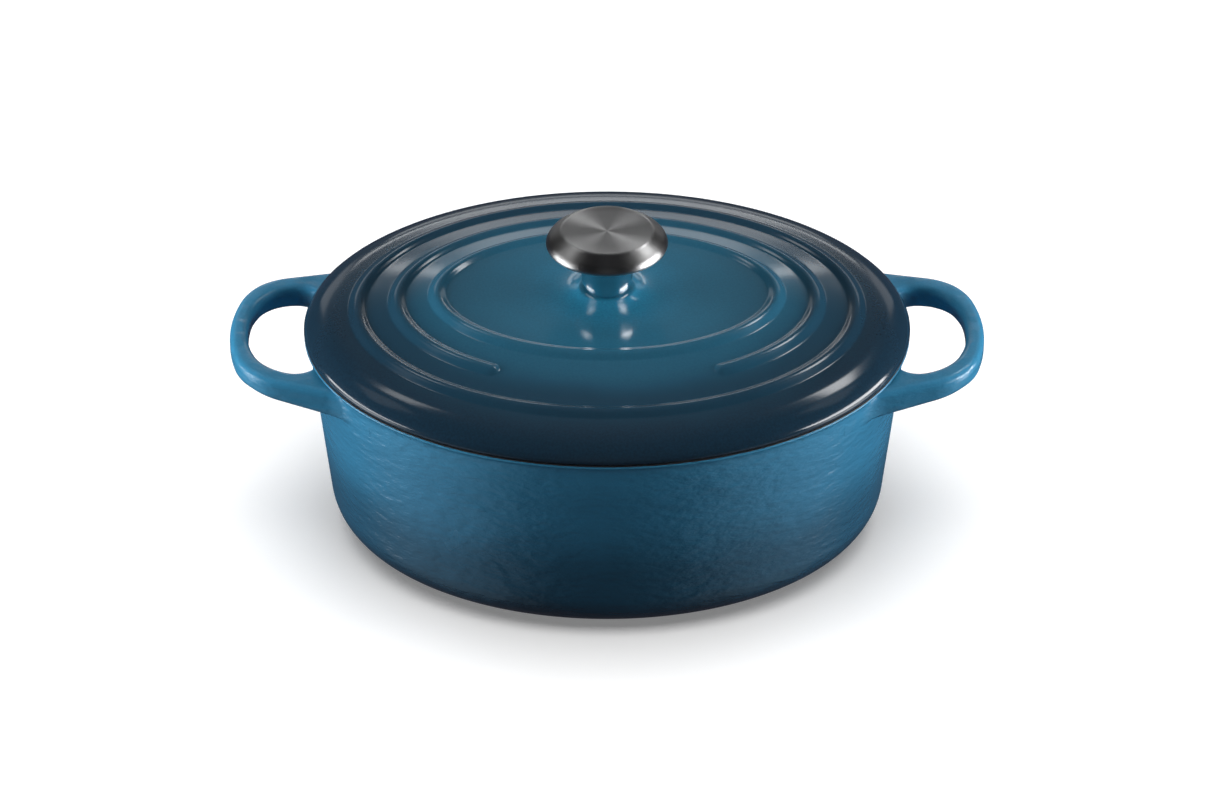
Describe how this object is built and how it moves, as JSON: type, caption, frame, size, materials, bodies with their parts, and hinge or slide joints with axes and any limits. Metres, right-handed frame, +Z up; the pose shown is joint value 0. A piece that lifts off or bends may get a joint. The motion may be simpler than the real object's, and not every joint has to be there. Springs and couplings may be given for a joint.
{
  "type": "dutch oven",
  "caption": "Oval enamelled cast iron cooking pot with cast loop handles at its ends and a domed, ringed lid that lifts off by a steel knob",
  "frame": {"origin": "middle of the base, on the surface the pot stands on", "axes": "+X along the oval through the handles, +Y across it to the back, +Z up"},
  "size_m": [0.365, 0.238, 0.1639],
  "materials": {
    "enamelled_iron": "gloss",
    "lining_enamel": "gloss",
    "rim_enamel": "satin",
    "brushed_steel": "brushed",
    "polished_steel": "polished",
    "brass_bush": "satin",
    "screw_steel": "satin"
  },
  "bodies": {
    "pot": {"pot_casting": "enamelled_iron", "pot_lining": "lining_enamel", "pot_rim_coat": "rim_enamel"},
    "lid": {"lid_casting": "enamelled_iron", "lid_lining": "lining_enamel", "lid_rim_coat": "rim_enamel", "knob_cap": "brushed_steel", "knob_stem": "polished_steel", "knob_bush": "brass_bush", "knob_screw": "screw_steel", "knob_washer": "screw_steel"}
  },
  "joints": [
    {"name": "lid_lift", "type": "slide", "parent": "pot", "child": "lid", "axis": [0, 0, 1], "range_m": [0, 0.2]}
  ]
}
